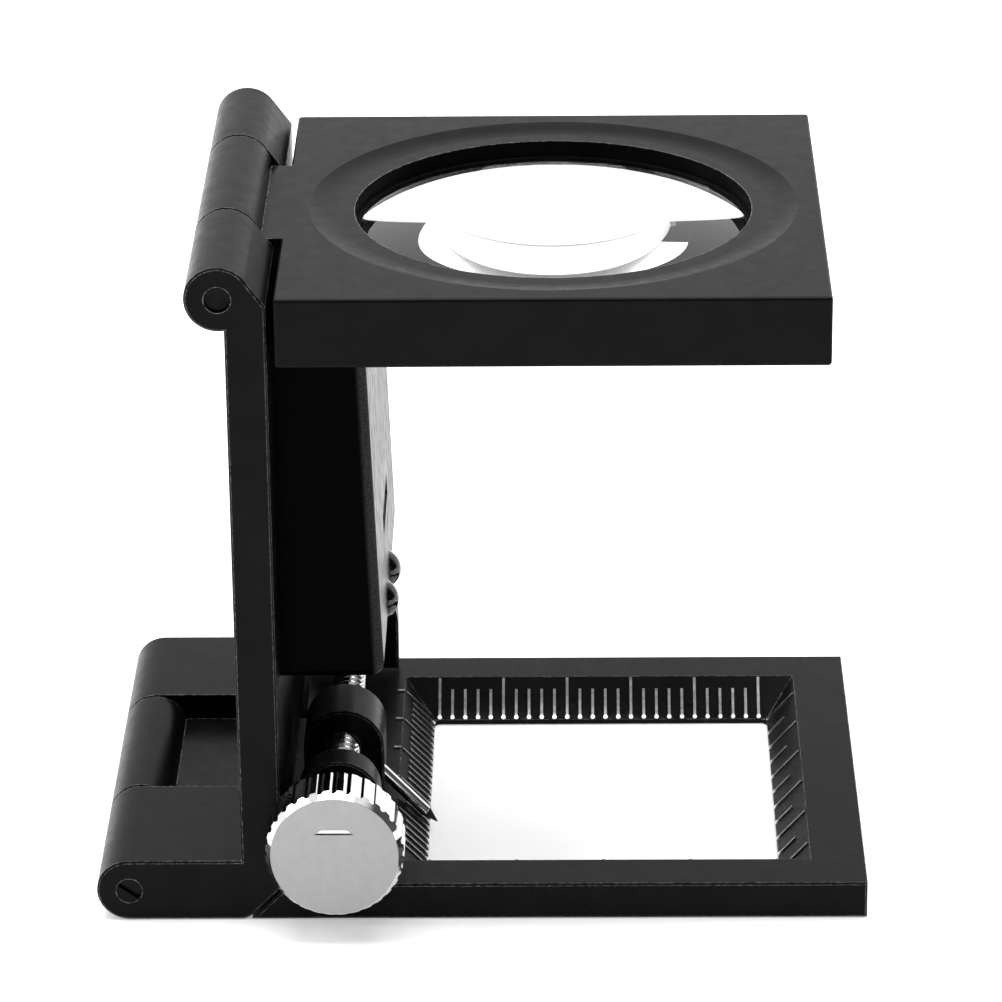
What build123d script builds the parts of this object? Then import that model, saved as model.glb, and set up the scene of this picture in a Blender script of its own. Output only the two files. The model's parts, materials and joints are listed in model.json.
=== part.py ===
"""Folding stand magnifier (linen tester) with a scaled base, lamps and a screw-driven pointer.

Millimetres. X runs along the base away from the fold hinges, Y runs from front to back and
Z is up. The origin is the middle of the object's bounding box, on the face it rests on.
"""
from build123d import *
import math
import os

# ---- driving dimensions -------------------------------------------------------------------
BARREL_R = 2.35             # radius of every hinge knuckle
PIN_R = 0.95                # hinge pin radius
FIT = 0.05                  # radial running clearance
GAP = 0.3                   # clearance between parts that pass each other
HEEL_GAP = 0.2              # slit between the base's heel and the ears
PLATE_FRONT, PLATE_BACK = -17.3, 21.3
MIDDLE_Y = (PLATE_FRONT + PLATE_BACK) / 2
EDGE = 0.25                 # softened edges of the lens plate
BREAK = 0.15                # broken edges of the other castings

# base
BASE_T = 2.8
BASE_RIGHT = 27.925
BASE_TIP = -16.725          # foot of the 45 degree end face
LOW_PIN_X, LOW_PIN_Z = -25.575, BARREL_R
TONGUE_Y = (-4.8, 10.3)
WINDOW = 26.0               # square opening at the underside
WINDOW_X, WINDOW_Y = 8.85, 1.85
WINDOW_LIP = 0.4            # straight part of the opening's edge
WINDOW_CORNER_R = 0.5
BEVEL_X = (-6.475, 23.975)  # opening at the top face
BEVEL_Y = (-13.5, 17.65)

# scale ribs
RIB_W, RIB_H, RIB_END_R = 0.2, 0.1, 0.16
RIB_FOOT, RIB_FOOT_CORNER = 0.05, 0.2  # where a line starts, as a fraction of the slope
LONG_LINE, MM_LINE, INCH_LINE = 0.96, 0.7, 0.6  # where it ends
LINE_OVERRUN = 0.4          # stretch of the left scale's long lines on the top face
MM_STEP, MM_MARKS, MM_ZERO_X, MM_ZERO_Y = 1.0, 26, -3.775, 15.1
TENTH_INCH, TENTH_MARKS, TENTH_ZERO_Y = 2.54, 11, -10.8
SIXTEENTH_INCH, SIXTEENTH_MARKS, SIXTEENTH_ZERO_X = 1.5875, 17, -3.85

# upright
PANEL_X = (-17.375, -14.475)
EAR_NEAR = (PLATE_FRONT, -5.1)
EAR_FAR = (10.6, PLATE_BACK)
TOP_PIN_X, TOP_PIN_Z = -17.775, 48.2
KNUCKLE_NEAR = (PLATE_FRONT, -5.5)
KNUCKLE_FAR = (10.5, PLATE_BACK)
TOE_R = 1.2
SHOULDER_DROP = 0.55        # foot of the knuckles' sloping shoulder below the pin
RELIEF_X, RELIEF_Z = 0.95, 1.2  # chamfer that clears the folded lens plate

# lens plate
PLATE_X = (-13.955, 24.675)
PLATE_T = 5.1
TAB_Y = (-5.15, 10.15)
TAB_LAP = 0.6               # how far the hinge tab runs into the plate
LENS_X = 5.375
HOLE_R, LIP_R = 14.35, 14.0
DISH_OUT_R, DISH_IN_R, DISH_D = 17.65, 15.7, 0.35
LENS_R, LENS_SAG, LENS_EDGE_T = 14.3, 1.9, 0.9
LENS_TOP = 1.9              # depth of the lens's upper rim below the plate's top
RING_T, RING_SPLIT = 0.25, 0.8

# pointer drive
SCREW_X, SCREW_Z = -10.425, 7.15
SCREW_R = 1.2
BLOCK_R = 3.0               # round top of the front lug and of the carriage
REAR_BLOCK_R = 3.4
BLOCK_BOTTOM = 3.2
WEB_TOP = 4.3               # top of the web between a block and the panel
FRONT_LUG = (-12.3, -9.95)
REAR_LUG = (18.3, 20.2)
CARRIAGE_Y = (-3.75, 1.05)
GROOVE_R = 0.85             # spindle radius inside the clip
CLIP_Y = (REAR_LUG[1] + 0.1, REAR_LUG[1] + 0.5)
CLIP_R, CLIP_MOUTH = 2.1, 1.2
SCREW_END = REAR_LUG[1] + 1.0
KNOB_R, KNOB_Y = 4.98, (-21.3, PLATE_FRONT - GAP)
KNOB_RIM_W, KNOB_RIM_D = 0.4, 0.6  # bevel around the knob's face
KNOB_FLUTES, FLUTE_R, FLUTE_D = 32, 0.36, 0.13
HUB_R, SOCKET_Y = 2.4, KNOB_Y[0] + 1.2
WASHER_Y = (FRONT_LUG[0] - 0.4, FRONT_LUG[0] - 0.1)
MARK_W, MARK_H, MARK_D, MARK_Z = 2.3, 0.42, 0.08, 1.85
MARK_GROOVE_W, MARK_GROOVE_H, MARK_GROOVE_D = 2.7, 0.12, 0.2
NEEDLE_R, NEEDLE_TIP_L, NEEDLE_ROOT = 0.45, 1.3, 1.0
NEEDLE_Y = -3.0
NEEDLE_START = (-7.425, 4.75)
NEEDLE_TIP = (-3.55, 0.6)

# lamp and battery box
BOX_LEFT = PANEL_X[1]
BOX_RIGHT = -6.95           # at the foot of the box
BOX_TAPER = 0.036           # the outer face leans in by this much for each mm of height
BOX_Y = (-12.3, 16.3)
BOX_Z = (17.0, 42.6)
WALL, COVER_T = 1.2, 0.85
INNER_LEFT = BOX_LEFT + WALL
INNER_Y = (BOX_Y[0] + WALL, BOX_Y[1] - WALL)
INNER_Z = (BOX_Z[0] + WALL, BOX_Z[1] - WALL)
BOX_EDGE, BOX_TOE_R = 0.6, 1.0
COVER_Y = (-9.8, 13.8)
COVER_Z = (22.4, 40.8)
BOSS_W, BOSS_D = 3.4, 2.6
LID_SCREW_Y, LID_SCREW_Z = COVER_Y[1] - 2.0, 39.4
LID_HEAD_R, LID_SHANK_R = 1.35, 0.75
LID_HEAD_D, LID_SCREW_L, LID_HOLE_D = 0.5, 2.8, 3.05
COVER_PLAY, GRIP_R, GRIP_W, GRIP_RISE = 0.1, 1.0, 8.0, 2.0
BOX_SCREW_Z = (21.6, 40.9)
SCREW_HEAD_R, SCREW_SHANK_R, SCREW_HEAD_D, SCREW_L, SCREW_SINK = 1.6, 0.8, 1.0, 4.0, 0.05
CROSS_L, CROSS_W, CROSS_D = 2.0, 0.36, 0.5
LAMP_R = 1.5
LAMP_X, LAMP_Z = -7.7, 18.0
LAMP_PITCH = 5.4
LAMP_YS = (MIDDLE_Y - LAMP_PITCH / 2, MIDDLE_Y + LAMP_PITCH / 2)
LAMP_BODY_L, LAMP_FLANGE_R, LAMP_FLANGE_T = 3.0, 1.85, 0.9
LEG_R, LEG_PITCH = 0.22, 2.54
BOARD_X = (INNER_LEFT + 0.3, INNER_LEFT + 1.1)
BOARD_TOP = 23.3
BOARD_REACH = (LAMP_X - BOARD_X[1]) * math.sqrt(2) - LAMP_BODY_L - LAMP_FLANGE_T - 0.3
CELL_R, CELL_T, CELL_Z = 8.0, 2.0, 31.9
CELL_X, CELL_Y = INNER_LEFT + 0.35, MIDDLE_Y - 1.0
CAP_T, CAP_INSET = 0.3, 0.9
STRIP_T = 0.25
STRIP_Y = (-8.4, -4.4)
REAR_STRIP_Y = (MIDDLE_Y - 4, MIDDLE_Y + 2)
CHIP_Y, CHIP_Z, CHIP_T = (9.0, 11.0), (20.6, 21.8), 0.5
SWITCH_X, SWITCH_Z, SWITCH_TRAVEL = -10.8, 29.3, 2.4
SLOT_W, SLOT_SPARE = 2.0, 1.4
SWITCH_SIZE = (3.4, 3.65, 10.4)
BUTTON_FOOT, BUTTON_STEM = (3.2, 0.7, 5.2), (1.7, 2.2)
BUTTON_PROUD = 1.3
BUTTON_GROOVE_W, BUTTON_GROOVE_D, BUTTON_GROOVES = 0.24, 0.2, (-0.6, 0, 0.6)


# ---- helpers ------------------------------------------------------------------------------
def block(x, y, z):
    """Box between two limits along each axis."""
    size = [abs(b - a) for a, b in (x, y, z)]
    return Pos(*[(a + b) / 2 for a, b in (x, y, z)]) * Box(*size)


def along_y(sketch, y):
    """Extrude a sketch drawn in X and Z between two values of Y."""
    plane = Plane(origin=(0, y[1], 0), x_dir=(1, 0, 0), z_dir=(0, -1, 0))
    return extrude(plane * sketch, y[1] - y[0])


def along_x(sketch, x):
    """Extrude a sketch drawn in Y and Z between two values of X."""
    plane = Plane(origin=(x[0], 0, 0), x_dir=(0, 1, 0), z_dir=(1, 0, 0))
    return extrude(plane * sketch, x[1] - x[0])


def rod_y(x, z, radius, y):
    """Round rod parallel to Y."""
    return along_y(Pos(x, z) * Circle(radius), y)


def disc_z(x, y, radius, z):
    """Round disc parallel to Z."""
    return Pos(x, y, (z[0] + z[1]) / 2) * Cylinder(radius, z[1] - z[0])


def break_end(body, y_end):
    """Chamfer the outline of a casting's front or back face."""
    faces = body.faces().filter_by(Axis.Y).sort_by(Axis.Y)
    face = faces[0] if y_end < 0 else faces[-1]
    return chamfer(face.outer_wire().edges(), BREAK)


def soft_block(x, y, z, radius=EDGE):
    """Box with every edge rounded."""
    body = block(x, y, z)
    return fillet(body.edges(), radius)


def tangent_point(x, z, radius, corner):
    """Point where a line from the corner touches the upper right of a circle."""
    reach = Vector(corner[0] - x, corner[1] - z, 0)
    turn = Rot(0, 0, 90 - math.degrees(math.asin(radius / reach.length)))
    side = turn * Pos(reach * (radius / reach.length))
    return (x + side.position.X, z + side.position.Y)


def save(node, shape):
    """Write one node as STEP; several solids stay separate solids of one node."""
    shape.label = node
    export_step(shape, f"parts/{node}.step")


# ---- base ---------------------------------------------------------------------------------
def window():
    """Opening of the base, straight at the underside and bevelled above."""
    half = WINDOW / 2
    straight = block((WINDOW_X - half, WINDOW_X + half), (WINDOW_Y - half, WINDOW_Y + half),
                     (-1, WINDOW_LIP))
    straight = fillet(straight.edges().filter_by(Axis.Z), WINDOW_CORNER_R)
    low = Plane.XY.offset(WINDOW_LIP) * Pos(WINDOW_X, WINDOW_Y) * Rectangle(WINDOW, WINDOW)
    high = Plane.XY.offset(BASE_T) * Pos(sum(BEVEL_X) / 2, sum(BEVEL_Y) / 2) * Rectangle(
        BEVEL_X[1] - BEVEL_X[0], BEVEL_Y[1] - BEVEL_Y[0])
    above = block(BEVEL_X, BEVEL_Y, (BASE_T, BASE_T + 1))
    return straight + loft([low, high]) + above


def base_frame():
    """Square frame with a 45 degree heel, a hinge tongue and the middle knuckle."""
    outline = Polygon((BASE_TIP, 0), (BASE_RIGHT, 0), (BASE_RIGHT, BASE_T),
                      (BASE_TIP + BASE_T, BASE_T), align=None)
    frame = along_y(outline, (PLATE_FRONT, PLATE_BACK))
    for y in (PLATE_FRONT, PLATE_BACK):
        frame = break_end(frame, y)
    frame -= window()
    tongue = block((LOW_PIN_X, BASE_TIP + BASE_T), TONGUE_Y, (0, BASE_T))
    knuckle = rod_y(LOW_PIN_X, LOW_PIN_Z, BARREL_R, TONGUE_Y)
    bore = rod_y(LOW_PIN_X, LOW_PIN_Z, PIN_R + FIT, (PLATE_FRONT, PLATE_BACK))
    return frame + tongue + knuckle - bore


def rib(foot, head, round_ends):
    """Raised line of the scale between two points; round ends are wider than the line."""
    run = Vector(*head) - Vector(*foot)
    side = Vector(0, 0, 1).cross(run)
    plane = Plane(origin=foot, x_dir=run, z_dir=run.cross(side))
    line = Box(run.length, RIB_W, RIB_H, align=(Align.MIN, Align.CENTER, Align.MIN))
    for end in (0, run.length)[:round_ends]:
        line += Pos(end, 0, RIB_H / 2) * Cylinder(RIB_END_R, RIB_H)
    return plane * line


def slope_rib(low_edge, high_edge, start, end, round_ends=1):
    """Line on a bevel, between two fractions of the way up from its inner edge."""
    low, high = Vector(*low_edge), Vector(*high_edge)
    return rib(tuple(low + (high - low) * start), tuple(low + (high - low) * end), round_ends)


def scale_marks():
    """Millimetre scales at the back and left, inch scales at the right and front."""
    half = WINDOW / 2
    left, right = WINDOW_X - half, WINDOW_X + half
    front, back = WINDOW_Y - half, WINDOW_Y + half
    ribs = []
    for i in range(MM_MARKS):
        x = MM_ZERO_X + i * MM_STEP
        end = LONG_LINE if i % 5 == 0 else MM_LINE
        ribs.append(slope_rib((x, back, WINDOW_LIP), (x, BEVEL_Y[1], BASE_T), RIB_FOOT, end))
    for i in range(MM_MARKS):
        y = MM_ZERO_Y - i * MM_STEP
        long_mark = i % 5 == 0
        end = LONG_LINE if long_mark else MM_LINE
        start = RIB_FOOT_CORNER if y > back - RIB_END_R else RIB_FOOT
        ribs.append(slope_rib((left, y, WINDOW_LIP), (BEVEL_X[0], y, BASE_T), start, end,
                              1 if long_mark else 2))
        if long_mark:
            ribs.append(rib((BEVEL_X[0] - LINE_OVERRUN, y, BASE_T), (BEVEL_X[0], y, BASE_T), 1))
    for i in range(TENTH_MARKS):
        y = TENTH_ZERO_Y + i * TENTH_INCH
        end = LONG_LINE if i % 2 == 0 else INCH_LINE
        ribs.append(slope_rib((right, y, WINDOW_LIP), (BEVEL_X[1], y, BASE_T), RIB_FOOT, end))
    for i in range(SIXTEENTH_MARKS):
        x = SIXTEENTH_ZERO_X + i * SIXTEENTH_INCH
        end = LONG_LINE if i % 4 == 0 else INCH_LINE
        ribs.append(slope_rib((x, front, WINDOW_LIP), (x, BEVEL_Y[0], BASE_T), RIB_FOOT, end))
    return Compound(children=ribs)


# ---- upright ------------------------------------------------------------------------------
def drive_block(x0, y, radius=BLOCK_R):
    """Round-topped block around the spindle, with a lower web towards the panel."""
    centre = Pos(SCREW_X, SCREW_Z)
    below = Polygon((SCREW_X - radius, BLOCK_BOTTOM), (SCREW_X + radius, BLOCK_BOTTOM),
                    (SCREW_X + radius, SCREW_Z), (SCREW_X - radius, SCREW_Z), align=None)
    body = along_y(centre * Circle(radius) + below, y)
    rims = body.faces().filter_by(Axis.Y).sort_by(Axis.Y)[0].outer_wire().edges()
    body = chamfer(rims, BREAK)
    return body + block((x0, SCREW_X), (y[0] + BREAK, y[1]), (BLOCK_BOTTOM, WEB_TOP))


def ear_outline():
    """Side of a hinge ear: round at the pin, with a 45 degree toe facing the base's heel."""
    inner = PANEL_X[1]
    heel = BASE_TIP - HEEL_GAP * math.sqrt(2)
    ear = Polygon((LOW_PIN_X, 0), (heel, 0), (inner, inner - heel), (inner, 2 * BARREL_R),
                  (LOW_PIN_X, 2 * BARREL_R), align=None)
    toe = ear.vertices().group_by(Axis.Y)[0].sort_by(Axis.X)[-1]
    return fillet(toe, TOE_R) + Pos(LOW_PIN_X, LOW_PIN_Z) * Circle(BARREL_R)


def upright():
    """Panel with hinge ears below, knuckles above and two lugs for the pointer screw."""
    outer, inner = PANEL_X
    shoulder = (inner, TOP_PIN_Z - SHOULDER_DROP)
    touch = tangent_point(TOP_PIN_X, TOP_PIN_Z, BARREL_R, shoulder)
    outline = Polygon((outer, BASE_T + GAP), (inner, BASE_T + GAP), shoulder, touch,
                      (TOP_PIN_X, TOP_PIN_Z), (outer, TOP_PIN_Z), align=None)
    panel = along_y(outline, (PLATE_FRONT, PLATE_BACK))
    for y in (EAR_NEAR, EAR_FAR):
        panel += along_y(ear_outline(), y)
    for y in (KNUCKLE_NEAR, KNUCKLE_FAR):
        panel += rod_y(TOP_PIN_X, TOP_PIN_Z, BARREL_R, y)
    for y in (PLATE_FRONT, PLATE_BACK):
        panel = break_end(panel, y)
    panel -= block((TOP_PIN_X - 3, inner + 1), (KNUCKLE_NEAR[1], KNUCKLE_FAR[0]),
                   (TOP_PIN_Z - BARREL_R - GAP, TOP_PIN_Z + 3))
    panel -= fold_relief()
    panel += drive_block(inner, FRONT_LUG)
    panel += drive_block(inner, REAR_LUG, REAR_BLOCK_R)
    panel -= rod_y(SCREW_X, SCREW_Z, SCREW_R + FIT, (FRONT_LUG[0] - 1, REAR_LUG[1] + 1))
    panel -= rod_y(LOW_PIN_X, LOW_PIN_Z, PIN_R, (PLATE_FRONT - 1, PLATE_BACK + 1))
    panel -= rod_y(TOP_PIN_X, TOP_PIN_Z, PIN_R, (PLATE_FRONT - 1, PLATE_BACK + 1))
    for z in BOX_SCREW_Z:
        panel -= at_box_screw(screw_seat(), z)
    return panel


def fold_relief():
    """Corner taken off the panel's outer top edge between the knuckles."""
    outer, top = PANEL_X[0], TOP_PIN_Z - BARREL_R - GAP
    corner = Polygon((outer - 1, top - RELIEF_Z), (outer, top - RELIEF_Z), (outer + RELIEF_X, top),
                     (outer + RELIEF_X, top + 1), (outer - 1, top + 1), align=None)
    return along_y(corner, (KNUCKLE_NEAR[1], KNUCKLE_FAR[0]))


# ---- screws that hold the lamp box to the panel ----------------------------------------------
def screw_shape():
    """Countersunk screw pointing along +Z, with its flat head sunk a little below Z = 0."""
    low = (Align.CENTER, Align.CENTER, Align.MIN)
    head = Pos(0, 0, SCREW_SINK) * Cone(SCREW_HEAD_R, SCREW_SHANK_R, SCREW_HEAD_D, align=low)
    return head + Pos(0, 0, SCREW_SINK) * Cylinder(SCREW_SHANK_R, SCREW_L, align=low)


def screw_seat():
    """Room for a countersunk screw, open above its head."""
    mouth = Pos(0, 0, SCREW_SINK) * Cylinder(SCREW_HEAD_R, 1, align=(
        Align.CENTER, Align.CENTER, Align.MAX))
    return screw_shape() + mouth


def at_box_screw(shape, z):
    """Turn a screw-shaped body to point into the panel's outer face at a height."""
    return Pos(PANEL_X[0], MIDDLE_Y, z) * Rot(0, 90, 0) * shape


def box_screws():
    """Two countersunk screws with cross slots, set just under the panel's outer face."""
    body = screw_shape()
    for arm in ((CROSS_L, CROSS_W), (CROSS_W, CROSS_L)):
        body -= Pos(0, 0, SCREW_SINK) * Box(*arm, 2 * CROSS_D)
    return Compound(children=[at_box_screw(body, z) for z in BOX_SCREW_Z])


# ---- hinge pins ------------------------------------------------------------------------------
def hinge_pin(x, z, inset, slotted):
    """Straight pin through a hinge; the slotted one shows a screwdriver slot at the front."""
    pin = rod_y(x, z, PIN_R, (PLATE_FRONT + inset, PLATE_BACK - inset))
    if slotted:
        slot = Pos(x, PLATE_FRONT, z) * Rot(0, 35, 0) * Box(3, 0.7, 0.35)
        pin -= slot
    return pin


# ---- lens plate ------------------------------------------------------------------------------
def dish():
    """Shallow dish around the lens hole: a concave sweep down to a flat floor."""
    run = DISH_OUT_R - DISH_IN_R
    sweep_r = (run ** 2 + DISH_D ** 2) / (2 * DISH_D)
    half_turn = math.asin(run / sweep_r) / 2
    middle = (DISH_IN_R + sweep_r * math.sin(half_turn),
              -DISH_D + sweep_r * (1 - math.cos(half_turn)))
    sweep = ThreePointArc((DISH_IN_R, -DISH_D), middle, (DISH_OUT_R, 0))
    rest = Polyline((DISH_OUT_R, 0), (DISH_OUT_R, 1), (0, 1), (0, -DISH_D), (DISH_IN_R, -DISH_D))
    section = make_face(Plane.XZ * (sweep + rest))
    return Pos(LENS_X, MIDDLE_Y, TOP_PIN_Z) * revolve(section, Axis.Z)


def lens_plate():
    """Square plate with the lens seat, a hinge tab and the middle knuckle."""
    top, bottom = TOP_PIN_Z, TOP_PIN_Z - PLATE_T
    plate = soft_block(PLATE_X, (PLATE_FRONT, PLATE_BACK), (bottom, top))
    seat = top - LENS_TOP - LENS_EDGE_T - sag_at(LIP_R)
    plate -= dish() + disc_z(LENS_X, MIDDLE_Y, HOLE_R, (seat, top + 1))
    plate -= disc_z(LENS_X, MIDDLE_Y, LIP_R, (bottom - 1, top))
    plate += block((TOP_PIN_X, PLATE_X[0] + TAB_LAP), TAB_Y, (top - BARREL_R, top))
    plate += rod_y(TOP_PIN_X, top, BARREL_R, TAB_Y)
    return plate - rod_y(TOP_PIN_X, top, PIN_R + FIT, (PLATE_FRONT, PLATE_BACK))


def lens():
    """Biconvex lens with a cylindrical rim."""
    rim_top = TOP_PIN_Z - LENS_TOP
    rim_bottom = rim_top - LENS_EDGE_T
    upper = ThreePointArc((LENS_R, rim_top), (LENS_R / 2, rim_top + sag_at(LENS_R / 2)),
                          (0, rim_top + LENS_SAG))
    lower = ThreePointArc((0, rim_bottom - LENS_SAG), (LENS_R / 2, rim_bottom - sag_at(LENS_R / 2)),
                          (LENS_R, rim_bottom))
    axis = Line((0, rim_top + LENS_SAG), (0, rim_bottom - LENS_SAG))
    rim = Line((LENS_R, rim_bottom), (LENS_R, rim_top))
    section = make_face(Plane.XZ * (upper + axis + lower + rim))
    return Pos(LENS_X, MIDDLE_Y, 0) * revolve(section, Axis.Z)


def sag_at(radius):
    """Height of the lens's face above its rim at a distance from the axis."""
    sphere = (LENS_R ** 2 + LENS_SAG ** 2) / (2 * LENS_SAG)
    return math.sqrt(sphere ** 2 - radius ** 2) - (sphere - LENS_SAG)


def lens_ring():
    """Thin split ring that holds the lens down on its seat."""
    bottom = TOP_PIN_Z - LENS_TOP + sag_at(LIP_R)
    top = bottom + RING_T
    ring = disc_z(LENS_X, MIDDLE_Y, HOLE_R, (bottom, top))
    ring -= disc_z(LENS_X, MIDDLE_Y, LIP_R, (bottom - 1, top + 1))
    half = RING_SPLIT / 2
    return ring - block((LENS_X - half, LENS_X + half), (PLATE_FRONT, MIDDLE_Y), (top - 2, top + 1))


# ---- pointer drive ---------------------------------------------------------------------------
def lead_screw():
    """Screw spindle, with a groove for the retaining clip at its far end."""
    spindle = rod_y(SCREW_X, SCREW_Z, SCREW_R, (SOCKET_Y, SCREW_END))
    groove = rod_y(SCREW_X, SCREW_Z, 2, CLIP_Y) - rod_y(SCREW_X, SCREW_Z, GROOVE_R, CLIP_Y)
    return spindle - groove


def knob():
    """Fluted thumb knob with a hub that reaches the front lug's washer."""
    head = rod_y(SCREW_X, SCREW_Z, KNOB_R, KNOB_Y)
    rims = head.edges().filter_by(GeomType.CIRCLE).sort_by(Axis.Y)
    face = head.faces().sort_by(Axis.Y)[0]
    head = chamfer(rims[0], KNOB_RIM_W, KNOB_RIM_D, reference=face)
    head = chamfer(head.edges().filter_by(GeomType.CIRCLE).sort_by(Axis.Y)[-1], BREAK)
    centre = Pos(SCREW_X, 0, SCREW_Z)
    flute = rod_y(KNOB_R + FLUTE_R - FLUTE_D, 0, FLUTE_R, (KNOB_Y[0] - 1, KNOB_Y[1] + 1))
    head -= [centre * Rot(0, 360 / KNOB_FLUTES * i, 0) * flute for i in range(KNOB_FLUTES)]
    head += rod_y(SCREW_X, SCREW_Z, HUB_R, (KNOB_Y[1], WASHER_Y[0] - 0.1))
    head -= rod_y(SCREW_X, SCREW_Z, SCREW_R, (SOCKET_Y, 0))
    return head - face_mark()


def face_mark():
    """Small sloping notch in the knob's face, with a fine groove along its lower edge."""
    y, z = KNOB_Y[0], SCREW_Z + MARK_Z
    half = MARK_W / 2
    plane = Plane(origin=(SCREW_X - half, 0, 0), x_dir=(0, 1, 0), z_dir=(1, 0, 0))
    wedge = Polygon((y - 1, z), (y + MARK_D, z), (y, z + MARK_H), (y - 1, z + MARK_H), align=None)
    outline = Pos(SCREW_X, y, z) * Rot(90, 0, 0) * Ellipse(half, MARK_H)
    notch = extrude(plane * wedge, MARK_W) & extrude(outline, 1, both=True)
    reach = MARK_GROOVE_W / 2
    groove = block((SCREW_X - reach, SCREW_X + reach), (y - 1, y + MARK_GROOVE_D),
                   (z - MARK_GROOVE_H, z))
    return notch + groove


def thrust_washer():
    """Plain washer between the knob's hub and the front lug."""
    return (rod_y(SCREW_X, SCREW_Z, HUB_R, WASHER_Y)
            - rod_y(SCREW_X, SCREW_Z, SCREW_R, (WASHER_Y[0] - 1, WASHER_Y[1] + 1)))


def retaining_clip():
    """Clip snapped into the spindle's groove behind the rear lug."""
    disc = rod_y(SCREW_X, SCREW_Z, CLIP_R, CLIP_Y) - rod_y(SCREW_X, SCREW_Z, GROOVE_R, CLIP_Y)
    half = CLIP_MOUTH / 2
    return disc - block((SCREW_X - half, SCREW_X + half), CLIP_Y, (SCREW_Z - 3, SCREW_Z))


def needle():
    """Round needle slanting down from the carriage to a conical point over the scale."""
    run = Vector(NEEDLE_TIP[0] - NEEDLE_START[0], 0, NEEDLE_TIP[1] - NEEDLE_START[1])
    plane = Plane(origin=(NEEDLE_START[0], NEEDLE_Y, NEEDLE_START[1]), x_dir=(0, 1, 0), z_dir=run)
    shaft_l = run.length + NEEDLE_ROOT - NEEDLE_TIP_L
    low = (Align.CENTER, Align.CENTER, Align.MIN)
    shaft = Pos(0, 0, -NEEDLE_ROOT) * Cylinder(NEEDLE_R, shaft_l, align=low)
    point = Pos(0, 0, shaft_l - NEEDLE_ROOT) * Cone(NEEDLE_R, 0.03, NEEDLE_TIP_L, align=low)
    return plane * (shaft + point)


def pointer_carriage():
    """Threaded block that the spindle drives along the scale."""
    body = drive_block(PANEL_X[1] + GAP, CARRIAGE_Y)
    body -= rod_y(SCREW_X, SCREW_Z, SCREW_R + FIT, (CARRIAGE_Y[0] - 1, CARRIAGE_Y[1] + 1))
    return body - needle()


# ---- lamp and battery box --------------------------------------------------------------------
def face_x(z):
    """Where the box's outer face stands at a height."""
    return BOX_RIGHT - BOX_TAPER * (z - BOX_Z[0])


def tapered(z, left, inset):
    """Outline in X and Z between a straight left side and the leaning outer face."""
    low, high = z
    return Polygon((left, low), (face_x(low) - inset, low), (face_x(high) - inset, high),
                   (left, high), align=None)


def lamp_plane(y):
    """Frame on a lamp's axis, which points down and outwards at 45 degrees."""
    return Plane(origin=(LAMP_X, y, LAMP_Z), x_dir=(0, 1, 0), z_dir=(1, 0, -1))


def lamp(y):
    """Clear 3 mm lamp with a domed end and a flange."""
    low = (Align.CENTER, Align.CENTER, Align.MAX)
    body = Sphere(LAMP_R) + Cylinder(LAMP_R, LAMP_BODY_L, align=low)
    flange = Pos(0, 0, -LAMP_BODY_L) * Cylinder(LAMP_FLANGE_R, LAMP_FLANGE_T, align=low)
    return lamp_plane(y) * (body + flange)


def lamp_leads():
    """Two wire legs behind each lamp, up to the circuit board."""
    legs = []
    start = LAMP_BODY_L + LAMP_FLANGE_T
    for y in LAMP_YS:
        for side in (-LEG_PITCH / 2, LEG_PITCH / 2):
            leg = Pos(side, 0, -start) * Cylinder(LEG_R, BOARD_REACH, align=(
                Align.CENTER, Align.CENTER, Align.MAX))
            legs.append(lamp_plane(y) * leg)
    return Compound(children=legs)


def lid_hole(radius, x):
    """Round hole for the cover's screw between two values of X."""
    return along_x(Pos(LID_SCREW_Y, LID_SCREW_Z) * Circle(radius), x)


def battery_box():
    """Moulded box on the panel, open at its outer side for the cover."""
    outline = tapered(BOX_Z, BOX_LEFT, 0)
    toe = outline.vertices().group_by(Axis.Y)[0].sort_by(Axis.X)[-1]
    body = along_y(fillet(toe, BOX_TOE_R), BOX_Y)
    for end in (0, -1):
        rim = body.faces().filter_by(Axis.Y).sort_by(Axis.Y)[end].outer_wire().edges()
        body = fillet(rim.sort_by(Axis.X)[1:], BOX_EDGE)
    body -= along_y(tapered(INNER_Z, INNER_LEFT, COVER_T), INNER_Y)
    boss_z = (LID_SCREW_Z - BOSS_W / 2, INNER_Z[1])
    boss_left = face_x(LID_SCREW_Z) - COVER_T - BOSS_D
    body += along_y(tapered(boss_z, boss_left, COVER_T), (COVER_Y[1] - BOSS_W, INNER_Y[1]))
    body -= along_y(tapered(COVER_Z, BOX_LEFT, -1) - tapered(COVER_Z, BOX_LEFT, COVER_T), COVER_Y)
    for y in LAMP_YS:
        hole = Cylinder(LAMP_R, 2 * LAMP_BODY_L, align=(Align.CENTER, Align.CENTER, Align.MIN))
        seat = Cylinder(LAMP_R, LAMP_BODY_L, align=(Align.CENTER, Align.CENTER, Align.MAX))
        body -= lamp_plane(y) * (hole + seat)
    slot_z = (SWITCH_Z - SLOT_SPARE, SWITCH_Z + SLOT_SPARE + SWITCH_TRAVEL)
    slot_x = (SWITCH_X - SLOT_W / 2, SWITCH_X + SLOT_W / 2)
    body -= block(slot_x, (INNER_Y[1] - 1, BOX_Y[1] + 1), slot_z)
    body -= lid_hole(LID_SHANK_R + FIT, (face_x(LID_SCREW_Z) - LID_HOLE_D, BOX_RIGHT))
    for z in BOX_SCREW_Z:
        body -= at_box_screw(screw_seat(), z)
    return body


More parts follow.
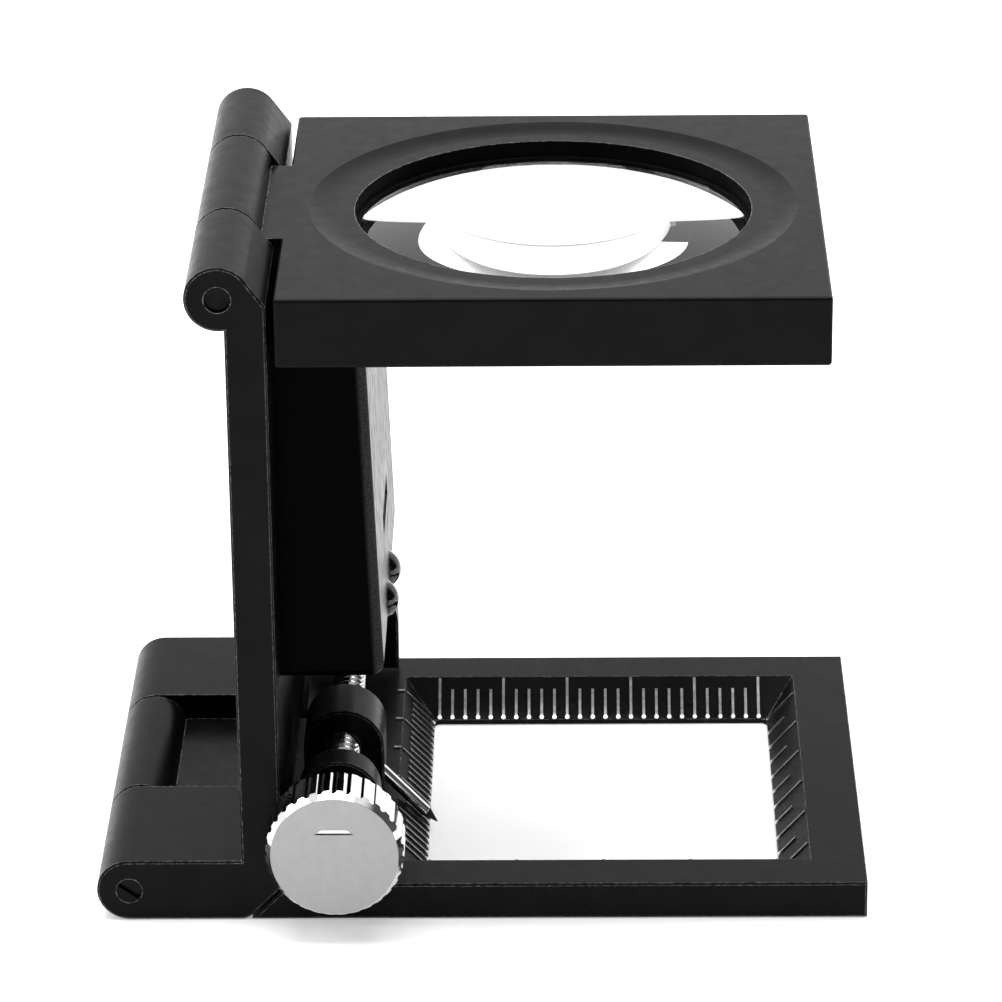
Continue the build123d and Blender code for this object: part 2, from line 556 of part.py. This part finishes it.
def battery_cover():
    """Flush cover with a counterbored screw hole and a finger groove."""
    z = (COVER_Z[0] + COVER_PLAY, COVER_Z[1] - COVER_PLAY)
    y = (COVER_Y[0] + COVER_PLAY, COVER_Y[1] - COVER_PLAY)
    lid = along_y(tapered(z, BOX_LEFT, 0) - tapered(z, BOX_LEFT, COVER_T), y)
    face = face_x(LID_SCREW_Z)
    lid -= lid_hole(LID_SHANK_R + 2 * FIT, (face - 2 * COVER_T, BOX_RIGHT))
    lid -= lid_hole(LID_HEAD_R + FIT, (face - LID_HEAD_D, BOX_RIGHT))
    grip_z = COVER_Z[0] + GRIP_RISE
    grip = Pos(face_x(grip_z) + 0.6 * GRIP_R, MIDDLE_Y, grip_z)
    return lid - grip * Rot(90, 0, 0) * Cylinder(GRIP_R, GRIP_W)


def cover_screw():
    """Small pan-head screw that holds the cover, with its head in the counterbore."""
    face = face_x(LID_SCREW_Z)
    head = (face - LID_HEAD_D, face - LID_HEAD_D + 0.4)
    body = lid_hole(LID_HEAD_R, head) + lid_hole(LID_SHANK_R, (face - LID_SCREW_L, head[1]))
    half = CROSS_W / 2
    return body - block((head[1] - 0.2, face), (LID_SCREW_Y - half, LID_SCREW_Y + half),
                        (LID_SCREW_Z - LID_HEAD_R, LID_SCREW_Z + LID_HEAD_R))


def coin_cell(index):
    """Coin cell with a stepped negative cap; cells stack along X."""
    x0 = CELL_X + index * CELL_T
    can = along_x(Pos(CELL_Y, CELL_Z) * Circle(CELL_R), (x0 + CAP_T, x0 + CELL_T))
    cap = along_x(Pos(CELL_Y, CELL_Z) * Circle(CELL_R - CAP_INSET), (x0, x0 + CAP_T))
    return can + cap


def negative_contact():
    """Flat strip behind the cells, running down to the circuit board."""
    return block((INNER_LEFT, INNER_LEFT + STRIP_T), REAR_STRIP_Y, (INNER_Z[0] + 1, CELL_Z + 3))


def positive_contact():
    """Strip in front of the cells with a foot that turns back to the circuit board."""
    face = CELL_X + 2 * CELL_T + FIT
    foot_z = BOARD_TOP - GAP
    strip = block((face, face + STRIP_T), STRIP_Y, (foot_z, CELL_Z + 1))
    foot = block((BOARD_X[1], face + STRIP_T), STRIP_Y, (foot_z - STRIP_T, foot_z))
    return strip + foot


def circuit_board():
    """Narrow board below the cells that joins the lamps, the cells and the switch."""
    return block(BOARD_X, (INNER_Y[0] + 0.4, INNER_Y[1] - 0.4), (INNER_Z[0] + 0.2, BOARD_TOP))


def resistor():
    """Chip resistor on the circuit board."""
    return block((BOARD_X[1], BOARD_X[1] + CHIP_T), CHIP_Y, CHIP_Z)


def switch_body():
    """Slide switch inside the box's back wall, in front of the button's foot."""
    width, depth, height = SWITCH_SIZE
    back = INNER_Y[1] - BUTTON_FOOT[1] - 0.25
    middle_z = SWITCH_Z + SWITCH_TRAVEL / 2
    return soft_block((SWITCH_X - width / 2, SWITCH_X + width / 2), (back - depth, back),
                      (middle_z - height / 2, middle_z + height / 2), 0.2)


def switch_button():
    """Sliding button: a foot behind the wall and a ribbed stem through the slot."""
    width, depth, height = BUTTON_FOOT
    foot_y = (INNER_Y[1] - 0.15 - depth, INNER_Y[1] - 0.15)
    foot = block((SWITCH_X - width / 2, SWITCH_X + width / 2), foot_y,
                 (SWITCH_Z - height / 2, SWITCH_Z + height / 2))
    stem_w, stem_h = BUTTON_STEM
    end = BOX_Y[1] + BUTTON_PROUD
    stem = block((SWITCH_X - stem_w / 2, SWITCH_X + stem_w / 2), (foot_y[1], end),
                 (SWITCH_Z - stem_h / 2, SWITCH_Z + stem_h / 2))
    half = BUTTON_GROOVE_W / 2
    for rise in BUTTON_GROOVES:
        z = SWITCH_Z + rise
        stem -= block((SWITCH_X - stem_w, SWITCH_X + stem_w), (end - BUTTON_GROOVE_D, end + 1),
                      (z - half, z + half))
    return foot + stem


# ---- write the nodes -------------------------------------------------------------------------
def main():
    os.makedirs("parts", exist_ok=True)
    save("base_frame", base_frame())
    save("scale_marks", scale_marks())
    save("upright", upright())
    save("lens_plate", lens_plate())
    save("lens", lens())
    save("lens_ring", lens_ring())
    save("base_hinge_pin", hinge_pin(LOW_PIN_X, LOW_PIN_Z, 0.05, True))
    save("lens_hinge_pin", hinge_pin(TOP_PIN_X, TOP_PIN_Z, 0.35, False))
    save("battery_box", battery_box())
    save("battery_cover", battery_cover())
    save("cover_screw", cover_screw())
    save("box_screws", box_screws())
    save("coin_cell_rear", coin_cell(0))
    save("coin_cell_front", coin_cell(1))
    save("negative_contact", negative_contact())
    save("positive_contact", positive_contact())
    save("circuit_board", circuit_board())
    save("resistor", resistor())
    save("lamp_front", lamp(LAMP_YS[0]))
    save("lamp_back", lamp(LAMP_YS[1]))
    save("lamp_leads", lamp_leads())
    save("switch_body", switch_body())
    save("switch_button", switch_button())
    save("lead_screw", lead_screw())
    save("knob", knob())
    save("thrust_washer", thrust_washer())
    save("retaining_clip", retaining_clip())
    save("pointer_carriage", pointer_carriage())
    save("pointer_needle", needle())


main()
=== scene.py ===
import json
import math

import bmesh
import bpy
from mathutils import Matrix, Vector


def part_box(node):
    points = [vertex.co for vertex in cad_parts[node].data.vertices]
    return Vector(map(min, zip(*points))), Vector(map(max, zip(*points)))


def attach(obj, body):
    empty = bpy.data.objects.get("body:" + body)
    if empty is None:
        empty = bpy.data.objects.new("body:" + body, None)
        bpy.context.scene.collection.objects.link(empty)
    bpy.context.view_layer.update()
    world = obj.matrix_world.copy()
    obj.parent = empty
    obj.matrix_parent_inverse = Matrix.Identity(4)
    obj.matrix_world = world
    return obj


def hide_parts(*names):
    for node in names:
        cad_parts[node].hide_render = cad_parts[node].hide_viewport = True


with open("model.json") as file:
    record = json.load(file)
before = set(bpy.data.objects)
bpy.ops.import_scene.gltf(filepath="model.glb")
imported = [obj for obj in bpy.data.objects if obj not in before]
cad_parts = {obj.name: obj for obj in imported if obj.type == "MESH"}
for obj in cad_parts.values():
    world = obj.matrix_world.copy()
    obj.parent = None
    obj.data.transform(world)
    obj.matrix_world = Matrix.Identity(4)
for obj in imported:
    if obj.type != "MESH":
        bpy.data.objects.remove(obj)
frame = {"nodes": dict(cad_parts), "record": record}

MM = 0.001
BOX_TAPER = 0.036           # how much the lamp box's outer face leans in for each unit of height
THREAD_PITCH = 0.75 * MM
THREAD_DEPTH = 0.4 * MM
THREAD_START, THREAD_END, THREAD_FADE = -9.8 * MM, 18.2 * MM, 0.5 * MM
THREAD_FLAT = 0.12          # share of the pitch that is flat at crest and root
CLIP_GROOVE_R = 0.85 * MM
END_BREAK = 0.1 * MM        # broken edge at each end of the spindle
LENS_RIM_T, LENS_SAG = 0.9 * MM, 1.9 * MM
LAMP_R = 1.5 * MM
LOW_INDEX_PAINT, LOW_INDEX_PLASTIC = 1.15, 1.065  # duller than real coatings, to suit the light
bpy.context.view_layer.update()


# ---- mesh helpers ---------------------------------------------------------------------------
def new_object(name, mesh, body, material):
    """Link a mesh as a piece that rides on a CAD body."""
    piece = bpy.data.objects.new(name, mesh)
    bpy.context.scene.collection.objects.link(piece)
    piece.data.materials.append(material)
    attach(piece, body)
    return piece


def mesh_from(name, verts, faces, smooth=True):
    """Mesh from plain lists, with outward normals."""
    mesh = bpy.data.meshes.new(name)
    mesh.from_pydata([tuple(v) for v in verts], [], faces)
    work = bmesh.new()
    work.from_mesh(mesh)
    bmesh.ops.recalc_face_normals(work, faces=work.faces)
    work.to_mesh(mesh)
    work.free()
    mesh.polygons.foreach_set("use_smooth", [smooth] * len(mesh.polygons))
    return mesh


def turned(name, profile, segments, place):
    """Solid of revolution: profile is a list of (radius, height) from one end to the other."""
    verts, faces, rings = [], [], []
    for radius, height in profile:
        if radius < 1e-9:
            rings.append([len(verts)])
            verts.append(place @ Vector((0, 0, height)))
            continue
        ring = []
        for i in range(segments):
            angle = 2 * math.pi * i / segments
            ring.append(len(verts))
            verts.append(place @ Vector((radius * math.cos(angle), radius * math.sin(angle), height)))
        rings.append(ring)
    for low, high in zip(rings, rings[1:]):
        for i in range(segments):
            j = (i + 1) % segments
            corners = [low[i % len(low)], low[j % len(low)], high[j % len(high)], high[i % len(high)]]
            face = list(dict.fromkeys(corners))
            if len(face) > 2:
                faces.append(face)
    return mesh_from(name, verts, faces)


# ---- material helpers -----------------------------------------------------------------------
def shader(name):
    """New node material and its Principled shader."""
    material = bpy.data.materials.new(name)
    material.use_nodes = True
    return material, material.node_tree.nodes["Principled BSDF"]


def node(material, kind, **inputs):
    """Add a node and set plain values on its sockets by name, with spaces as underscores."""
    made = material.node_tree.nodes.new(kind)
    for key, value in inputs.items():
        made.inputs[key.replace("_", " ")].default_value = value
    return made


def join(material, source, target):
    material.node_tree.links.new(source, target)


def noise(material, scale, detail=3.0, rough=0.55):
    """Noise in the row frame's own coordinates; scale is in features per metre."""
    coords = material.node_tree.nodes.new("ShaderNodeTexCoord")
    made = node(material, "ShaderNodeTexNoise", Scale=scale, Detail=detail, Roughness=rough)
    join(material, coords.outputs["Object"], made.inputs["Vector"])
    return made.outputs["Fac"]


def spread(material, source, low, high, from_low=0.3, from_high=0.7):
    """Map a noise value to a range."""
    made = node(material, "ShaderNodeMapRange", From_Min=from_low, From_Max=from_high,
                To_Min=low, To_Max=high)
    join(material, source, made.inputs["Value"])
    return made.outputs["Result"]


def tint(material, source, dark, light):
    """Blend two colours by a noise value."""
    ramp = material.node_tree.nodes.new("ShaderNodeValToRGB")
    ramp.color_ramp.elements[0].position, ramp.color_ramp.elements[1].position = 0.35, 0.65
    ramp.color_ramp.elements[0].color = (*dark, 1)
    ramp.color_ramp.elements[1].color = (*light, 1)
    join(material, source, ramp.inputs["Fac"])
    return ramp.outputs["Color"]


def bump(material, bsdf, source, distance, strength=1.0):
    """Bump a shader, stacking on any bump that it already has."""
    made = node(material, "ShaderNodeBump", Strength=strength, Distance=distance)
    join(material, source, made.inputs["Height"])
    if bsdf.inputs["Normal"].links:
        join(material, bsdf.inputs["Normal"].links[0].from_socket, made.inputs["Normal"])
    join(material, made.outputs["Normal"], bsdf.inputs["Normal"])


def combine(material, operation, first, second):
    """Maths on two values, each a source or a number."""
    made = material.node_tree.nodes.new("ShaderNodeMath")
    made.operation = operation
    for socket, value in zip(made.inputs, (first, second)):
        if isinstance(value, (int, float)):
            socket.default_value = value
        else:
            join(material, value, socket)
    return made.outputs["Value"]


def painted_edge_highlights(material, width, grain):
    """Painted highlight mask: broken grey lines along sharp edges, where a rounded normal parts from
    the true one, standing in for the light the edges catch.
    """
    rounded = node(material, "ShaderNodeBevel", Radius=width)
    rounded.samples = 6
    true = material.node_tree.nodes.new("ShaderNodeNewGeometry")
    dot = material.node_tree.nodes.new("ShaderNodeVectorMath")
    dot.operation = "DOT_PRODUCT"
    join(material, rounded.outputs["Normal"], dot.inputs[0])
    join(material, true.outputs["Normal"], dot.inputs[1])
    edge = spread(material, dot.outputs["Value"], 1, 0, 0.9, 0.985)
    patches = spread(material, noise(material, grain, 4, 0.7), 0.1, 1, 0.42, 0.62)
    return combine(material, "MULTIPLY", edge, patches)


# ---- materials ------------------------------------------------------------------------------
def black_paint():
    """Satin black enamel over a die casting: orange peel, dusty grain and painted grey highlights
    along the edges, broken into patches like rubbed wear.
    """
    material, bsdf = shader("black_paint")
    bsdf.inputs["IOR"].default_value = LOW_INDEX_PAINT
    paint = tint(material, noise(material, 420), (0.0028, 0.0028, 0.0029), (0.0042, 0.0042, 0.0043))
    # Painted highlight: grey along sharp edges, where the edges would catch the light, broken into
    # wear-like patches.
    edge_highlight = painted_edge_highlights(material, 0.12 * MM, 2600)
    join(material, mix_colour(material, edge_highlight, paint, (0.32, 0.32, 0.32)), bsdf.inputs["Base Color"])
    join(material, spread(material, noise(material, 900), 0.26, 0.36), bsdf.inputs["Roughness"])
    bump(material, bsdf, noise(material, 1500, 2), 0.000004)
    bump(material, bsdf, noise(material, 9000, 2), 0.0000025)
    return material


def black_plastic():
    """Moulded black plastic, duller than the paint when seen square on, with a painted grey highlight
    down its front right edge, broken up by grain.
    """
    material, bsdf = shader("black_plastic")
    bsdf.inputs["IOR"].default_value = LOW_INDEX_PLASTIC
    low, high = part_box("battery_box")
    plastic_tint = tint(material, noise(material, 300), (0.0003, 0.0003, 0.0003),
                        (0.0007, 0.0007, 0.0007))
    foot = high.x - BOX_TAPER * 0.6 * MM
    lean = (1, 0, BOX_TAPER)
    start = foot + BOX_TAPER * low.z
    beside = along(material, lean, start - 0.75 * MM, start - 0.45 * MM)
    front = along(material, (0, -1, 0), -low.y - 0.7 * MM, -low.y - 0.5 * MM)
    grain = spread(material, noise(material, 7000, 5, 0.8), 0.25, 1, 0.4, 0.6)
    # Painted highlight: a grey strip down the front right edge and its rounding, where the edge
    # catches the light.
    front_edge_highlight = combine(material, "MULTIPLY", combine(material, "MULTIPLY", beside, front), grain)
    join(material, mix_colour(material, front_edge_highlight, plastic_tint, (0.045, 0.045, 0.045)),
         bsdf.inputs["Base Color"])
    join(material, spread(material, noise(material, 700), 0.2, 0.3), bsdf.inputs["Roughness"])
    bump(material, bsdf, noise(material, 5000, 2), 0.0000015)
    return material


def metal(name, colour, rough, grain=6000, depth=0.000001):
    """Plain metal with slightly uneven roughness and fine grain."""
    material, bsdf = shader(name)
    bsdf.inputs["Metallic"].default_value = 1.0
    light = [min(1, c * 1.08) for c in colour]
    join(material, tint(material, noise(material, 800), colour, light), bsdf.inputs["Base Color"])
    join(material, spread(material, noise(material, 1200), rough * 0.8, rough * 1.25),
         bsdf.inputs["Roughness"])
    bump(material, bsdf, noise(material, grain, 2), depth)
    return material


def along(material, axis, start, end):
    """Step from 0 to 1 between two distances along an axis of the row frame."""
    coords = material.node_tree.nodes.new("ShaderNodeTexCoord")
    dot = material.node_tree.nodes.new("ShaderNodeVectorMath")
    dot.operation = "DOT_PRODUCT"
    dot.inputs[1].default_value = axis
    join(material, coords.outputs["Object"], dot.inputs[0])
    return spread(material, dot.outputs["Value"], 0, 1, start, end)


def mix_colour(material, mask, below, above):
    """Blend two colour sources or colours by a mask."""
    made = material.node_tree.nodes.new("ShaderNodeMix")
    made.data_type = "RGBA"
    join(material, mask, made.inputs["Factor"])
    for socket, value in ((made.inputs[6], below), (made.inputs[7], above)):
        if isinstance(value, tuple):
            socket.default_value = (*value, 1)
        else:
            join(material, value, socket)
    return made.outputs[2]


def from_axis(material, centre):
    """Distance from an axis parallel to Y through a point."""
    coords = material.node_tree.nodes.new("ShaderNodeTexCoord")
    offset = material.node_tree.nodes.new("ShaderNodeVectorMath")
    offset.operation = "MULTIPLY_ADD"
    offset.inputs[1].default_value = (1, 0, 1)
    offset.inputs[2].default_value = (-centre.x, 0, -centre.z)
    length = material.node_tree.nodes.new("ShaderNodeVectorMath")
    length.operation = "LENGTH"
    join(material, coords.outputs["Object"], offset.inputs[0])
    join(material, offset.outputs["Vector"], length.inputs[0])
    return length.outputs["Value"]


def chrome_knob():
    """Bright plated flutes and rim around a satin face, with a bright notch in it."""
    material, bsdf = shader("chrome_plate")
    bsdf.inputs["Metallic"].default_value = 1.0
    low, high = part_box("knob")
    centre = (low + high) / 2
    face_r = (high.x - low.x) / 2 - 0.36 * MM
    rim = spread(material, from_axis(material, centre), 0, 1, face_r, face_r + 0.01 * MM)
    notch_in = along(material, (0, 1, 0), low.y + 0.02 * MM, low.y + 0.05 * MM)
    notch_out = along(material, (0, -1, 0), -low.y - 0.12 * MM, -low.y - 0.1 * MM)
    notch = combine(material, "MULTIPLY", notch_in, notch_out)
    mask = combine(material, "MAXIMUM", rim, notch)
    satin = tint(material, noise(material, 1400), (0.268, 0.268, 0.27), (0.285, 0.285, 0.287))
    join(material, mix_colour(material, mask, satin, (0.86, 0.86, 0.87)), bsdf.inputs["Base Color"])
    join(material, spread(material, mask, 0.3, 0.06, 0, 1), bsdf.inputs["Roughness"])
    bump(material, bsdf, noise(material, 8000, 2), 0.0000008)
    return material


def scale_lines():
    """Raised lines in grey metal, a painted sheen of the polished black lines along the slope, and
    near white as a painted highlight at the window's lip.
    """
    material, bsdf = shader("scale_line")
    bsdf.inputs["Metallic"].default_value = 1.0
    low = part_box("scale_marks")[0]
    # Painted highlight: the lowest part of each line, at the window's lip, is near white to give
    # bright dots.
    foot = along(material, (0, 0, -1), -low.z - 0.36 * MM, -low.z - 0.22 * MM)
    # Painted sheen: grey in place of the sheen on the polished black lines.
    painted_sheen_grey = tint(material, noise(material, 2500, 4, 0.7), (0.2, 0.2, 0.2), (0.36, 0.36, 0.36))
    join(material, mix_colour(material, foot, painted_sheen_grey, (0.95, 0.95, 0.95)), bsdf.inputs["Base Color"])
    join(material, spread(material, noise(material, 1200), 0.28, 0.42), bsdf.inputs["Roughness"])
    bump(material, bsdf, noise(material, 5000, 2), 0.000003)
    return material


def needle_steel():
    """Polished steel with a blued, dark point."""
    material, bsdf = shader("needle_steel")
    bsdf.inputs["Metallic"].default_value = 1.0
    low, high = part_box("pointer_needle")
    run = Vector((high.x - low.x, 0, low.z - high.z)).normalized()
    tip = run.dot(Vector((high.x, 0, low.z)))
    point_l = 1.35 * MM
    mask = along(material, tuple(run), tip - point_l, tip - point_l + 0.1 * MM)
    bright = tint(material, noise(material, 1500), (0.82, 0.82, 0.83), (0.9, 0.9, 0.9))
    join(material, mix_colour(material, mask, bright, (0.02, 0.02, 0.022)), bsdf.inputs["Base Color"])
    join(material, spread(material, mask, 0.07, 0.35, 0, 1), bsdf.inputs["Roughness"])
    bump(material, bsdf, noise(material, 6000, 2), 0.0000006)
    return material


def glass(name, colour, ior, rough=0.0):
    """Clear glass or resin."""
    material, bsdf = shader(name)
    bsdf.inputs["Base Color"].default_value = (*colour, 1)
    bsdf.inputs["Transmission Weight"].default_value = 1.0
    bsdf.inputs["IOR"].default_value = ior
    bsdf.inputs["Roughness"].default_value = rough
    return material


def plastic(name, colour, rough, ior=1.45):
    """Plain moulded plastic with fine grain."""
    material, bsdf = shader(name)
    bsdf.inputs["IOR"].default_value = ior
    light = [min(1, c * 1.3 + 0.002) for c in colour]
    join(material, tint(material, noise(material, 900), colour, light), bsdf.inputs["Base Color"])
    join(material, spread(material, noise(material, 1500), rough * 0.85, rough * 1.15),
         bsdf.inputs["Roughness"])
    bump(material, bsdf, noise(material, 7000, 2), 0.000002)
    return material


SLOT_MATERIALS = {
    "black_paint": black_paint(),
    "black_plastic": black_plastic(),
    "steel": metal("steel", (0.8, 0.8, 0.81), 0.12),
    "dark_steel": metal("dark_steel", (0.008, 0.008, 0.0085), 0.4),
    "chrome_plate": chrome_knob(),
    "scale_line": scale_lines(),
    "cell_steel": metal("cell_steel", (0.62, 0.62, 0.6), 0.25),
    "contact_metal": metal("contact_metal", (0.7, 0.52, 0.25), 0.3),
    "switch_metal": metal("switch_metal", (0.5, 0.5, 0.5), 0.3),
    "lens_glass": glass("lens_glass", (0.985, 0.992, 0.99), 1.52),
    "lamp_clear": glass("lamp_clear", (0.96, 0.97, 0.98), 1.5, 0.02),
    "ring_black": plastic("ring_black", (0.003, 0.003, 0.003), 0.5, 1.1),
    "board_green": plastic("board_green", (0.01, 0.09, 0.035), 0.35),
    "chip_black": plastic("chip_black", (0.02, 0.02, 0.02), 0.5),
    "switch_black": plastic("switch_black", (0.012, 0.012, 0.012), 0.45)}


def dress_cad_nodes():
    """Give each CAD node the finish of its slot in the record."""
    for part in frame["record"]["subparts"]:
        mesh = frame["nodes"][part["node"]].data
        mesh.materials.clear()
        mesh.materials.append(SLOT_MATERIALS[part["material_slot"]])
    needle = frame["nodes"]["pointer_needle"].data
    needle.materials.clear()
    needle.materials.append(needle_steel())


def soften_edges(node_name, width, segments=2, angle=40):
    """Round a CAD node's sharp edges a little, so that they catch the light."""
    modifier = frame["nodes"][node_name].modifiers.new("soft_edges", "BEVEL")
    modifier.width = width
    modifier.segments = segments
    modifier.limit_method = "ANGLE"
    modifier.angle_limit = math.radians(angle)


# ---- pieces ---------------------------------------------------------------------------------
def make_lens():
    """Biconvex lens with spherical faces and a ground rim."""
    low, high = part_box("lens")
    radius = (high.x - low.x) / 2
    sphere = (radius ** 2 + LENS_SAG ** 2) / (2 * LENS_SAG)
    middle = (low + high) / 2
    rings = 48
    cap = []
    for i in range(rings + 1):
        r = radius * i / rings
        cap.append((r, LENS_RIM_T / 2 + math.sqrt(sphere ** 2 - r ** 2) - (sphere - LENS_SAG)))
    profile = cap + [(r, -h) for r, h in reversed(cap)]
    mesh = turned("lens_glass_body", profile, 192, Matrix.Translation(middle))
    piece = new_object("lens_glass_body", mesh, "lens_holder",
                       SLOT_MATERIALS["lens_glass"])
    mark_sharp(piece, 60)
    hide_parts("lens")


def mark_sharp(piece, degrees):
    """Split smooth shading at edges sharper than an angle."""
    work = bmesh.new()
    work.from_mesh(piece.data)
    for edge in work.edges:
        edge.smooth = len(edge.link_faces) < 2 or edge.calc_face_angle(0) < math.radians(degrees)
    work.to_mesh(piece.data)
    work.free()


def thread_depth(y):
    """Full between the two ends of the thread, with a short run-out at each."""
    return max(0.0, min(1.0, (y - THREAD_START) / THREAD_FADE, (THREAD_END - y) / THREAD_FADE))


def make_lead_screw():
    """Spindle with a real helical thread between the lugs and plain ends in its bearings."""
    low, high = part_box("lead_screw")
    centre = (low + high) / 2
    radius = (high.x - low.x) / 2
    clip_low, clip_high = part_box("retaining_clip")
    length = THREAD_END - THREAD_START
    around = per_pitch = 24     # equal, so that each face splits along the helix
    stations = [low.y, low.y + END_BREAK, THREAD_START]
    steps = round(length / THREAD_PITCH * per_pitch)
    stations += [THREAD_START + length * (i + 1) / steps for i in range(steps)]
    stations += [clip_low.y, clip_low.y, clip_high.y, clip_high.y, high.y - END_BREAK, high.y]
    in_groove = range(len(stations) - 5, len(stations) - 3)
    verts, faces = [], []
    for number, y in enumerate(stations):
        cut = THREAD_DEPTH * thread_depth(y)
        plain = CLIP_GROOVE_R if number in in_groove else radius
        if number in (0, len(stations) - 1):
            plain -= END_BREAK
        for i in range(around):
            angle = 2 * math.pi * i / around
            phase = (y / THREAD_PITCH + i / around) % 1
            crest = min(1.0, max(0.0, abs(2 * phase - 1) * (1 + THREAD_FLAT) - THREAD_FLAT / 2))
            r = plain - cut * crest
            verts.append((centre.x + r * math.cos(angle), y, centre.z + r * math.sin(angle)))
    for number in range(len(stations) - 1):
        for i in range(around):
            a, b = number * around + i, number * around + (i + 1) % around
            faces += [(a, b, a + around), (b, b + around, a + around)]
    faces.append(tuple(range(around)))
    faces.append(tuple(range(len(verts) - around, len(verts))))
    mesh = mesh_from("threaded_spindle", verts, faces)
    piece = new_object("threaded_spindle", mesh, "adjuster", SLOT_MATERIALS["steel"])
    mark_sharp(piece, 50)
    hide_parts("lead_screw")


def make_lamp_frames():
    """Lead frame inside each clear lamp: a reflector cup on a post, and a thin second post."""
    cup = [(0, -0.15), (0.22, -0.15), (0.42, 0.12), (0.5, 0.12), (0.5, -0.35), (0.3, -0.5),
           (0.3, -3.4), (0, -3.4)]
    post = [(0, -0.2), (0.1, -0.25), (0.14, -0.4), (0.14, -3.4), (0, -3.4)]
    for name in ("lamp_front", "lamp_back"):
        low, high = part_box(name)
        middle = Vector((high.x - LAMP_R, (low.y + high.y) / 2, low.z + LAMP_R))
        turn = Vector((1, 0, -1)).to_track_quat("Z", "Y").to_matrix().to_4x4()
        for kind, profile, side in (("cup", cup, -0.45), ("post", post, 0.55)):
            place = Matrix.Translation(middle + Vector((0, side * MM, 0))) @ turn
            mesh = turned(f"{name}_{kind}", [(r * MM, h * MM) for r, h in profile], 24, place)
            piece = new_object(f"{name}_{kind}", mesh, "upright", SLOT_MATERIALS["steel"])
            mark_sharp(piece, 40)


# ---- stage ----------------------------------------------------------------------------------
def floor():
    """Plain pale floor."""
    size = 2.5
    mesh = mesh_from("floor", [(-size, -size, 0), (size, -size, 0), (size, size, 0), (-size, size, 0)],
                     [(0, 1, 2, 3)], smooth=False)
    piece = bpy.data.objects.new("floor", mesh)
    bpy.context.scene.collection.objects.link(piece)
    piece.location.z = -0.00002
    material, bsdf = shader("pale_floor")
    bsdf.inputs["Base Color"].default_value = (0.9, 0.9, 0.9, 1)
    bsdf.inputs["Roughness"].default_value = 0.8
    bsdf.inputs["Specular IOR Level"].default_value = 0.1
    bsdf.inputs["Emission Color"].default_value = (1, 1, 1, 1)
    bsdf.inputs["Emission Strength"].default_value = 0.3
    piece.data.materials.append(material)


def area_light(name, place, aim, size, watts):
    data = bpy.data.lights.new(name, "AREA")
    data.shape = "RECTANGLE"
    data.size, data.size_y = size
    data.energy = watts
    lamp = bpy.data.objects.new(name, data)
    lamp.location = place
    lamp.rotation_euler = (Vector(aim) - Vector(place)).to_track_quat("-Z", "Y").to_euler()
    bpy.context.scene.collection.objects.link(lamp)
    return lamp


def studio():
    """White surroundings, dim towards the front and the right, and two soft boxes."""
    world = bpy.data.worlds.new("studio")
    bpy.context.scene.world = world
    world.use_nodes = True
    nodes, links = world.node_tree.nodes, world.node_tree.links
    coords = nodes.new("ShaderNodeTexCoord")
    split = nodes.new("ShaderNodeSeparateXYZ")
    fall = nodes.new("ShaderNodeMapRange")
    fall.inputs["From Min"].default_value, fall.inputs["From Max"].default_value = -0.9, 0.3
    fall.inputs["To Min"].default_value, fall.inputs["To Max"].default_value = 0.1, 1.25
    flag = nodes.new("ShaderNodeMapRange")
    flag.inputs["From Min"].default_value, flag.inputs["From Max"].default_value = 0.6, 0.8
    flag.inputs["To Min"].default_value, flag.inputs["To Max"].default_value = 1.0, 0.08
    behind = nodes.new("ShaderNodeMapRange")
    behind.inputs["From Min"].default_value, behind.inputs["From Max"].default_value = 0.2, 0.4
    open_back = nodes.new("ShaderNodeMath")
    open_back.operation = "MAXIMUM"
    both = nodes.new("ShaderNodeMath")
    both.operation = "MULTIPLY"
    links.new(coords.outputs["Generated"], split.inputs["Vector"])
    links.new(split.outputs["Y"], fall.inputs["Value"])
    links.new(split.outputs["X"], flag.inputs["Value"])
    links.new(split.outputs["Y"], behind.inputs["Value"])
    links.new(flag.outputs["Result"], open_back.inputs[0])
    links.new(behind.outputs["Result"], open_back.inputs[1])
    links.new(fall.outputs["Result"], both.inputs[0])
    links.new(open_back.outputs["Value"], both.inputs[1])
    links.new(both.outputs["Value"], nodes["Background"].inputs["Strength"])
    nodes["Background"].inputs["Color"].default_value = (1, 1, 1, 1)
    area_light("top_box", (0, 0.1, 0.7), (0, 0, 0), (0.6, 0.6), 6.5)
    area_light("left_box", (-0.6, 0.1, 0.5), (0, 0, 0.02), (0.3, 0.5), 1.2)
    bpy.context.scene.view_settings.view_transform = "Standard"


def camera():
    """Long lens, looking down from the front, turned a little as the view is."""
    pitch, yaw, roll = math.radians(23.47), math.radians(-0.83), math.radians(-0.58)
    target, distance = Vector((1.417, 0, 25.54)) * MM, 373.3 * MM
    forward = Vector((math.sin(yaw) * math.cos(pitch), math.cos(yaw) * math.cos(pitch),
                      -math.sin(pitch)))
    level = Vector((math.cos(yaw), -math.sin(yaw), 0))
    upright = level.cross(forward)
    right = level * math.cos(roll) + upright * math.sin(roll)
    up = upright * math.cos(roll) - level * math.sin(roll)
    data = bpy.data.cameras.new("camera")
    data.lens, data.sensor_width = 181.86, 36
    data.clip_start, data.clip_end = 0.01, 10
    made = bpy.data.objects.new("camera", data)
    axes = Matrix((right, up, -forward)).transposed().to_4x4()
    made.matrix_world = Matrix.Translation(target - forward * distance) @ axes
    bpy.context.scene.collection.objects.link(made)
    bpy.context.scene.camera = made


camera()
studio()
floor()
dress_cad_nodes()
soften_edges("scale_marks", 0.05 * MM)
make_lens()
make_lead_screw()
make_lamp_frames()
